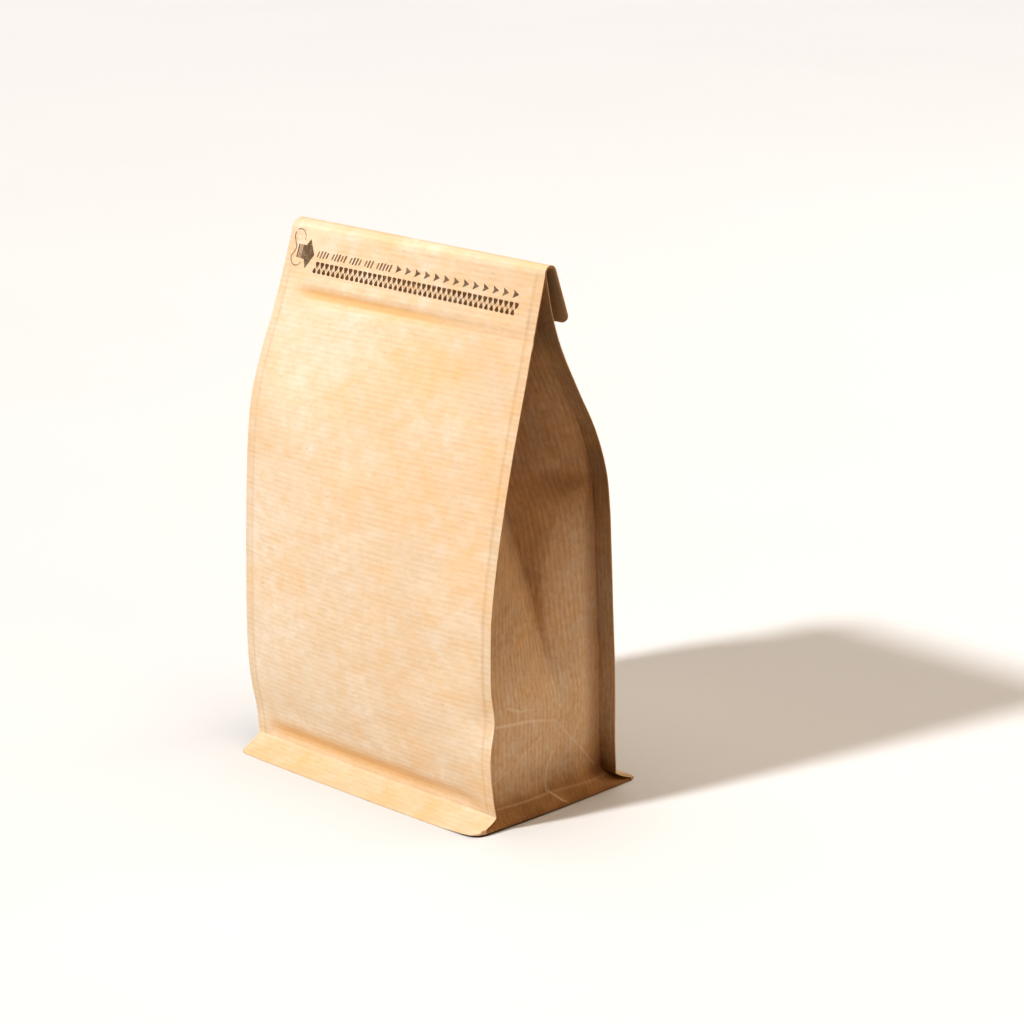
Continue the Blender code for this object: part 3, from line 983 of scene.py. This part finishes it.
def attribute_value(tree, name):
    """The value of one of the paper's own attributes."""
    node = tree.nodes.new("ShaderNodeAttribute")
    node.attribute_name = name
    return node.outputs["Fac"]


def new_material(name):
    """Start a material and return it with its node tree and its shader."""
    material = bpy.data.materials.new(name)
    material.use_nodes = True
    return material, material.node_tree, material.node_tree.nodes["Principled BSDF"]


def add_relief(tree, shader, height, strength, distance):
    """Let a height stand out a little from the surface."""
    relief = tree.nodes.new("ShaderNodeBump")
    relief.inputs["Strength"].default_value = strength
    relief.inputs["Distance"].default_value = distance
    tree.links.new(height, relief.inputs["Height"])
    tree.links.new(relief.outputs[0], shader.inputs["Normal"])


def kraft_paper(look, groups):
    """Matt ribbed kraft paper with fibres, clouds, sealed bands, worn creases, and painted light
    and shade on the front and in the gussets.
    """
    material, tree, shader = new_material("kraft_paper")
    paper = paper_vector(tree)
    ribs = place_group(tree, groups["ribs"], {"Paper": paper, "Pitch": look.rib_pitch})
    fibres = place_group(tree, groups["fibres"], {"Paper": paper})
    mottle = place_group(tree, groups["mottle"], {"Paper": paper})
    # sealed bands, and painted shade in the gussets and at the front's upper right
    sealed = attribute_value(tree, SEAL_AND_SHADE_ATTRIBUTE)
    gusset = attribute_value(tree, GUSSET_ATTRIBUTE)
    # orange tone of blotches and skirt, with painted shade in the front's hollows and painted
    # light on its left
    warm = attribute_value(tree, WARM_AND_SHADE_ATTRIBUTE)

    def stronger(value, even, extra):
        """A mask times an even share, and more of it in a gusset."""
        share = math_node(tree, "MULTIPLY_ADD", gusset, extra, even)
        return math_node(tree, "MULTIPLY", value, share, clamped=True)

    spots = stronger(mottle.outputs["Spots"], *SPOTS)
    line = stronger(ribs.outputs["Rib"], look.rib_contrast, GUSSET_RIBS * look.rib_contrast)
    streak = stronger(band(tree, ribs.outputs["Streak"], 0.42, 0.72), *STREAKS)
    scuffs = stronger(mottle.outputs["Scuffs"], *SCUFFS)
    dark = math_node(tree, "MULTIPLY", fibres.outputs["Dark"], DARK_FIBRES)
    pale = math_node(tree, "MULTIPLY", fibres.outputs["Pale"], PALE_FIBRES)
    colour = blend_colour(tree, mottle.outputs["Clouds"], look.paper_dark, look.paper_light)
    for amount, tint, mode in (
            (spots, look.paper_warm, "MIX"), (sealed, look.paper_seal_and_shade, "MIX"),
            (warm, look.paper_orange_and_shade, "MIX"), (line, look.rib_tint, "MULTIPLY"),
            (streak, look.rib_tint, "MULTIPLY"), (scuffs, look.rib_tint, "MULTIPLY"),
            (dark, look.fibre_dark, "MIX"), (pale, look.fibre_pale, "MIX")):
        colour = blend_colour(tree, amount, colour, tint, mode)
    worn = None
    for start, end, width, strength in CREASES:
        crease = place_group(tree, groups["crease"], {
            "Paper": paper, "Start": (*start, 0), "End": (*end, 0), "Width": width})
        part = math_node(tree, "MULTIPLY", crease.outputs["Worn"], strength)
        worn = part if worn is None else math_node(tree, "MAXIMUM", worn, part)
    colour = blend_colour(tree, worn, colour, look.fibre_pale)
    tree.links.new(colour, shader.inputs["Base Color"])

    rough = math_node(tree, "MULTIPLY_ADD", mottle.outputs["Spots"], SPOT_ROUGHNESS,
                      look.roughness)
    tree.links.new(rough, shader.inputs["Roughness"])
    shader.inputs["Specular IOR Level"].default_value = PAPER_SPECULAR
    shader.inputs["Sheen Weight"].default_value = PAPER_SHEEN

    height = math_node(tree, "MULTIPLY", ribs.outputs["Rib"], RIB_GROOVE)
    for value, share in ((fibres.outputs["Tooth"], TOOTH_RELIEF),
                         (fibres.outputs["Pale"], FIBRE_RELIEF), (worn, CREASE_RELIEF)):
        height = math_node(tree, "MULTIPLY_ADD", value, share, height)
    add_relief(tree, shader, height, PAPER_BUMP, look.relief)
    return material


def print_ink(name, dark, light, look, groups):
    """Flat ink between two shades, thin where the paper's ribs and fibres show through."""
    material, tree, shader = new_material(name)
    at = tree.nodes.new("ShaderNodeTexCoord").outputs["Object"]
    fibres = place_group(tree, groups["fibres"], {"Paper": at})
    mottle = place_group(tree, groups["mottle"], {"Paper": at})
    uneven = noise_node(tree, at, 420, 2, 0.5)
    colour = blend_colour(tree, band(tree, uneven, 0.35, 0.7), dark, light)
    thin = math_node(tree, "MULTIPLY", fibres.outputs["Pale"], INK_FIBRES)
    colour = blend_colour(tree, thin, colour, look.paper_light)
    tree.links.new(colour, shader.inputs["Base Color"])
    rough = math_node(tree, "MULTIPLY_ADD", mottle.outputs["Spots"], *INK_ROUGHNESS)
    tree.links.new(rough, shader.inputs["Roughness"])
    add_relief(tree, shader, fibres.outputs["Tooth"], INK_BUMP, look.relief)
    return material


# ---- the print on the front ----

class FrontFace:
    """Finds places on the finished front panel."""

    def __init__(self, left_end, right_end):
        self.ends = (left_end, right_end)

    def point(self, x, z):
        """The panel's point at x and height z."""
        low = FRONT_EDGE_RIGHT[0][0]
        high = mix(FRONT_EDGE_LEFT[-1][0], FRONT_EDGE_RIGHT[-1][0], (x / PANEL_HALF_WIDTH + 1) / 2)
        share = (z - low) / (high - low)
        left, right = (end.wall(share) for end in self.ends)
        return Station(left, right, PANEL_HALF_WIDTH, "wall").panel_point(x, 0)

    def wrap(self, piece):
        """Lay a flat piece, drawn in x and height with its thickness along Z, on the panel."""
        step = 0.5 * MM
        for vertex in piece.data.vertices:
            x, z, thick = vertex.co
            here = self.point(x, z)
            across = self.point(x + step, z) - here
            up = self.point(x, z + step) - here
            vertex.co = here + across.cross(up).normalized() * thick
        piece.data.update()


def lay_ink(piece, face):
    """Make flat artwork a closed solid, mostly sunk in the paper, and lay it on the front."""
    activate(piece)
    edit_all()
    bpy.ops.transform.translate(value=(0, 0, INK_TOP))
    bpy.ops.mesh.extrude_region_move(TRANSFORM_OT_translate={"value": (0, 0, -INK_DEPTH)})
    close_edit()
    face.wrap(piece)
    return piece


def flat_shape(name, corners):
    """A flat shape with the given corners, shaped from a disc of as many points."""
    deselect_all()
    bpy.ops.mesh.primitive_circle_add(vertices=len(corners), radius=1 * MM, fill_type="NGON")
    piece = named(name)
    order = sorted(piece.data.vertices, key=lambda v: atan2(v.co.y, v.co.x))
    for vertex, corner in zip(order, corners):
        vertex.co = (*corner, 0.0)
    piece.data.update()
    return piece


def slanted_stroke(name, half, rise, lean):
    """A flat upright stroke whose top leans to the right."""
    return flat_shape(name, [(-half - lean, -rise / 2), (half - lean, -rise / 2),
                             (half + lean, rise / 2), (-half + lean, rise / 2)])


def refine(piece, cuts):
    """Cut a flat shape's faces finer, so that it can follow the panel."""
    activate(piece)
    edit_all()
    bpy.ops.mesh.quads_convert_to_tris()
    bpy.ops.mesh.subdivide(number_cuts=cuts)
    bpy.ops.object.mode_set(mode="OBJECT")


def repeat(piece, places):
    """Copy a flat shape to every place as (x, height, size, turn) and join the copies."""
    copies = []
    for x, z, size, turn in places:
        copy = piece.copy()
        copy.data = piece.data.copy()
        bpy.context.scene.collection.objects.link(copy)
        turned = Matrix.Rotation(turn, 4, "Z") @ Matrix.Scale(size, 4)
        copy.data.transform(Matrix.Translation((x, z, 0)) @ turned)
        copies.append(copy)
    deselect_all()
    for copy in copies:
        copy.select_set(True)
    name = piece.name
    bpy.data.objects.remove(piece)
    bpy.context.view_layer.objects.active = copies[0]
    bpy.ops.object.join()
    return named(name)


def row_height(start, end, x):
    """Height of a slightly slanting row of print at x, between two (x, height) ends."""
    return mix(start[1], end[1], (x - start[0]) / (end[0] - start[0]))


def tooth_corners(width, length, profile):
    """Corners of a zip tooth that hangs from its wide end at the top to its point."""
    right = [(w * width / 2, h * length / 2) for w, h in profile]
    left = [(-x, z) for x, z in reversed(right)]
    return [(0.0, -length / 2)] + right + left


def zip_teeth(name, face, look, teeth):
    """One row of the printed zip's teeth."""
    (start, end), width, length, turn, seed, profile = teeth
    tooth = flat_shape(name, tooth_corners(width, length, profile))
    places = []
    for i in range(look.tooth_count):
        x = mix(start[0], end[0], i / (look.tooth_count - 1))
        size = 1 + TOOTH_SIZE_SPREAD * noise.noise(Vector((i * 1.7, seed, 0)))
        places.append((x, row_height(start, end, x), size, turn))
    return lay_ink(repeat(tooth, places), face)


def zip_threads(name, face, look):
    """Thin crossing strokes between the two rows of teeth."""
    start, end = UPPER_ROW
    pitch = (end[0] - start[0]) / (look.tooth_count - 1)
    places = []
    for i in range(2 * look.tooth_count - 2):
        x = start[0] + (i / 2 + 0.25) * pitch
        middle = (row_height(start, end, x) + row_height(*LOWER_ROW, x)) / 2
        places.append((x, middle, THREAD_SIZE, radians(-4 if i % 2 else 4)))
    return lay_ink(repeat(slanted_stroke(name, *THREAD_STROKE), places), face)


def pointers(name, face, look):
    """The row of small pointers that shows which way to tear."""
    pointer = flat_shape(name, [(x * MM, z * MM) for x, z in POINTER_CORNERS])
    start, end = POINTER_ROW
    places = []
    for i in range(look.pointer_count):
        x = mix(start[0], end[0], i / (look.pointer_count - 1))
        places.append((x, row_height(start, end, x), 1.0, 0.0))
    return lay_ink(repeat(pointer, places), face)


def hatching(name, face):
    """Groups of slanted strokes, a plain stand-in for the band's wording."""
    start, end = HATCH_ROW
    places = []
    x = start[0]
    for group in HATCH_GROUPS:
        for k in range(group):
            places.append((x, row_height(start, end, x), 1.0 if k % 3 else HATCH_SHORT, 0.0))
            x += HATCH_PITCH
        x += HATCH_PITCH * HATCH_GAP
    return lay_ink(repeat(slanted_stroke(name, *HATCH_STROKE), places), face)


def arrow(name, face):
    """The broad arrow at the band's start, with a striped tail."""
    head = flat_shape(name, [(x * MM, z * MM) for x, z in ARROW_HEAD])
    refine(head, 2)
    low, high = ARROW_STRIPE_ENDS
    lean = ARROW_STRIPE_LEAN
    for left, width in ARROW_STRIPES:
        stripe = flat_shape(name + "_stripe", [
            (left * MM, low * MM), ((left + width) * MM, low * MM),
            ((left + width + lean) * MM, high * MM), ((left + lean) * MM, high * MM)])
        refine(stripe, 1)
        head.select_set(True)
        bpy.context.view_layer.objects.active = head
        bpy.ops.object.join()
    return lay_ink(head, face)


def tab_line(name, face):
    """The thin curled line round the pull tab."""
    deselect_all()
    bpy.ops.mesh.primitive_grid_add(x_subdivisions=TAB_LINE_STEPS, y_subdivisions=1, size=2.0)
    line = named(name)
    last = len(TAB_PATH) - 1

    def along(t):
        knots = [(k, *spot) for k, spot in enumerate(TAB_PATH)]
        return Vector((curve(knots, t, 1), curve(knots, t, 2))) * MM

    for vertex in line.data.vertices:
        t = (vertex.co.x + 1) / 2 * last
        side = -1 if vertex.co.y < 0 else 1
        before, after = along(max(t - 0.05, 0)), along(min(t + 0.05, last))
        ahead = (after - before).normalized()
        swell = 0.55 + 0.45 * sin(pi * t / last)
        spot = along(t) + Vector((-ahead.y, ahead.x)) * side * TAB_LINE_WIDTH / 2 * swell
        vertex.co = (spot.x, spot.y, 0.0)
    line.data.update()
    return lay_ink(line, face)


# ---- add-on ----

def colour_property(label, text, value):
    """A colour the user can change."""
    return FloatVectorProperty(name=label, description=text, subtype="COLOR", size=3,
                               min=0.0, max=1.0, default=value)


def number_property(label, text, value, low=0.0, **more):
    """A number the user can change."""
    return FloatProperty(name=label, description=text, default=value, min=low, **more)


FACTOR = {"max": 1.0, "subtype": "FACTOR"}
LENGTH = {"subtype": "DISTANCE", "unit": "LENGTH"}
POWER = {"subtype": "POWER", "unit": "POWER"}


class CoffeeBagLook(PropertyGroup):
    """Colours and finish of the paper and its print."""

    paper_light: colour_property("Paper, light", "Light clouds of the pulp", (0.67, 0.59, 0.495))
    paper_dark: colour_property("Paper, dark", "Darker clouds of the pulp", (0.63, 0.525, 0.412))
    paper_warm: colour_property("Paper, warm", "Warm spots of the pulp", (0.62, 0.495, 0.362))
    # This orange also paints shade in the front's hollows.
    paper_orange_and_shade: colour_property("Paper, orange", "Thin orange places", (0.64, 0.43, 0.23))
    rib_tint: colour_property("Ribs, tint", "Tint of ribs, streaks and scuffs",
                              (0.80, 0.70, 0.58))
    # This colour also paints shade in the gussets and at the front's upper right.
    paper_seal_and_shade: colour_property("Sealed bands", "Where film is sealed behind the paper",
                                (0.34, 0.225, 0.12))
    fibre_pale: colour_property("Pale fibres", "Pale fibres and worn creases",
                                (0.70, 0.62, 0.51))
    fibre_dark: colour_property("Dark fibres", "Dark fibres in the pulp", (0.36, 0.25, 0.16))
    ink_dark: colour_property("Ink", "Full ink of the print", (0.110, 0.055, 0.018))
    ink_light: colour_property("Ink, thin", "Thinner ink of the print", (0.150, 0.100, 0.062))
    ink_pale: colour_property("Ink, thinnest", "Thinnest ink of the print", (0.23, 0.17, 0.115))
    rib_pitch: number_property("Rib pitch", "Distance from rib to rib", 2.2 * MM, 0.0001,
                               **LENGTH)
    rib_contrast: number_property("Rib contrast", "How dark the rib lines are", 0.23, **FACTOR)
    relief: number_property("Paper relief", "Height of ribs and fibres", 0.06 * MM, **LENGTH)
    roughness: number_property("Roughness", "Roughness of the matt paper", 0.66, **FACTOR)
    tooth_count: IntProperty(name="Zip teeth", description="Teeth in each printed row",
                             default=41, min=2)
    pointer_count: IntProperty(name="Pointers", description="Small pointers in the band",
                               default=13, min=2)


class CoffeeBagStage(PropertyGroup):
    """Floor, light and camera."""

    floor_colour: colour_property("Floor", "Colour of the plain floor", (0.60, 0.625, 0.65))
    key_strength: number_property("Key light", "Strength of the main lamp", 2.16)
    top_strength: number_property("Top light", "Strength of the soft lamp above", 1.75)
    back_power: number_property("Back light", "Power of the lamp behind", 5.0, **POWER)
    side_power: number_property("Side light", "Power of the warm side lamp", 4.0, **POWER)
    room_light: number_property("Room light", "Strength of the even light", 0.0)
    lens: number_property("Lens", "Focal length of the camera in mm", 105.47, 1.0)


SHARED = {}


def shared_groups():
    """The node groups that the materials share, built once."""
    if not SHARED:
        SHARED.update(ribs=ribs_group(), fibres=fibres_group(), mottle=mottle_group(),
                      crease=crease_group())
    return SHARED


def bag_ends():
    """The shell's left and right ends."""
    return (End(FRONT_EDGE_LEFT, BACK_EDGE_LEFT, RIDGE_LEFT, SHEET_LEFT),
            End(FRONT_EDGE_RIGHT, BACK_EDGE_RIGHT, RIDGE_RIGHT, SHEET_RIGHT))


class COFFEEBAG_OT_paper(Operator):
    """Roll the kraft paper shell of the bag"""

    bl_idname = "coffeebag.paper"
    bl_label = "Paper shell"

    def execute(self, context):
        sheet = roll_sheet("paper_shell", paper_rows(*bag_ends()))
        finish_piece(sheet, kraft_paper(context.scene.coffee_bag_look, shared_groups()))
        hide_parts(BAG_NODE)
        return {"FINISHED"}


class COFFEEBAG_OT_print(Operator):
    """Print the opening band on the front"""

    bl_idname = "coffeebag.print"
    bl_label = "Printed band"

    def execute(self, context):
        look = context.scene.coffee_bag_look
        face = FrontFace(*bag_ends())
        full = print_ink("print_ink", look.ink_dark, look.ink_light, look, shared_groups())
        thin = print_ink("print_ink_thin", look.ink_light, look.ink_pale, look, shared_groups())
        pieces = [
            (zip_teeth("print_zip_upper", face, look, UPPER_TEETH), full),
            (zip_teeth("print_zip_lower", face, look, LOWER_TEETH), full),
            (zip_threads("print_zip_threads", face, look), thin),
            (pointers("print_pointers", face, look), thin),
            (hatching("print_hatching", face), thin),
            (arrow("print_arrow", face), thin),
            (tab_line("print_tab_line", face), thin),
        ]
        for piece, ink in pieces:
            finish_piece(piece, ink)
        return {"FINISHED"}


def lamp(name, place, size, colour, target, power, far=False):
    """Add a lamp that shines at a target: a round soft one, or a far one soft over an angle."""
    bpy.ops.object.light_add(type="SUN" if far else "AREA", location=place)
    thing = bpy.context.object
    thing.name = name
    if far:
        thing.data.angle = size
    else:
        thing.data.shape = "DISK"
        thing.data.size = size
    thing.data.energy = power
    thing.data.color = colour
    ahead = (Vector(target) - thing.location).normalized()
    thing.rotation_euler = ahead.to_track_quat("-Z", "Y").to_euler()


def floor_material(colour):
    """A plain matt pale floor with a faint unevenness."""
    material, tree, shader = new_material("pale_floor")
    where = tree.nodes.new("ShaderNodeTexCoord")
    cloud = noise_node(tree, where.outputs["Object"], 3.0)
    soft = blend_colour(tree, band(tree, cloud, 0.2, 0.8), [c * FLOOR_CLOUDS for c in colour],
                        colour)
    tree.links.new(soft, shader.inputs["Base Color"])
    shader.inputs["Roughness"].default_value = FLOOR_ROUGHNESS
    shader.inputs["Specular IOR Level"].default_value = FLOOR_SPECULAR
    return material


class COFFEEBAG_OT_stage(Operator):
    """Set the floor, the lamps and the camera"""

    bl_idname = "coffeebag.stage"
    bl_label = "Stage"

    def execute(self, context):
        look = context.scene.coffee_bag_stage
        deselect_all()
        bpy.ops.mesh.primitive_plane_add(size=FLOOR_SIZE, location=(0, 0, 0))
        floor = named("floor")
        floor.data.transform(Matrix.Translation((0, 0, FLOOR_DROP)))
        floor.data.materials.append(floor_material(look.floor_colour))

        middle = (0, 0, HIGH.z / 2)
        lamp("key_lamp", *KEY_LAMP, middle, look.key_strength, far=True)
        lamp("top_lamp", *TOP_LAMP, middle, look.top_strength, far=True)
        lamp("back_lamp", *BACK_LAMP, middle, look.back_power)
        lamp("side_lamp", *SIDE_LAMP, middle, look.side_power)
        world = bpy.data.worlds.new("room")
        world.use_nodes = True
        world.node_tree.nodes["Background"].inputs["Strength"].default_value = look.room_light
        context.scene.world = world

        bpy.ops.object.camera_add(location=CAMERA_PLACE)
        camera = context.object
        camera.name = "camera"
        camera.data.lens = look.lens
        camera.data.sensor_width = SENSOR_WIDTH
        ahead = Vector((-sin(CAMERA_AZIMUTH) * cos(CAMERA_PITCH),
                        cos(CAMERA_AZIMUTH) * cos(CAMERA_PITCH), -sin(CAMERA_PITCH)))
        right = ahead.cross(Vector((0, 0, 1))).normalized()
        up = right.cross(ahead)
        level = Matrix((right, up, -ahead)).transposed()
        camera.rotation_euler = (level @ Matrix.Rotation(CAMERA_ROLL, 3, "Z")).to_euler()
        camera.data.dof.use_dof = False
        context.scene.camera = camera
        view = context.scene.view_settings
        view.view_transform = VIEW_TRANSFORM
        view.look = VIEW_LOOK
        view.exposure = VIEW_EXPOSURE
        return {"FINISHED"}


class COFFEEBAG_PT_panel(Panel):
    """Steps and sizes of the coffee bag"""

    bl_idname = "COFFEEBAG_PT_panel"
    bl_label = "Coffee bag"
    bl_space_type = "VIEW_3D"
    bl_region_type = "UI"
    bl_category = "Coffee bag"

    def draw(self, context):
        layout = self.layout
        for operator in OPERATORS:
            layout.operator(operator.bl_idname)
        for holder in (context.scene.coffee_bag_look, context.scene.coffee_bag_stage):
            box = layout.box()
            for name in holder.__annotations__:
                box.prop(holder, name)


OPERATORS = (COFFEEBAG_OT_paper, COFFEEBAG_OT_print, COFFEEBAG_OT_stage)
CLASSES = (CoffeeBagLook, CoffeeBagStage, *OPERATORS, COFFEEBAG_PT_panel)


def register():
    """Register the classes and their properties."""
    for cls in CLASSES:
        bpy.utils.register_class(cls)
    bpy.types.Scene.coffee_bag_look = PointerProperty(type=CoffeeBagLook)
    bpy.types.Scene.coffee_bag_stage = PointerProperty(type=CoffeeBagStage)


def unregister():
    """Take the classes and their properties away again."""
    del bpy.types.Scene.coffee_bag_stage
    del bpy.types.Scene.coffee_bag_look
    for cls in reversed(CLASSES):
        bpy.utils.unregister_class(cls)


def main():
    """Build the bag and its stage."""
    register()
    bpy.ops.coffeebag.paper()
    bpy.ops.coffeebag.print()
    bpy.ops.coffeebag.stage()


if __name__ == "__main__":
    main()
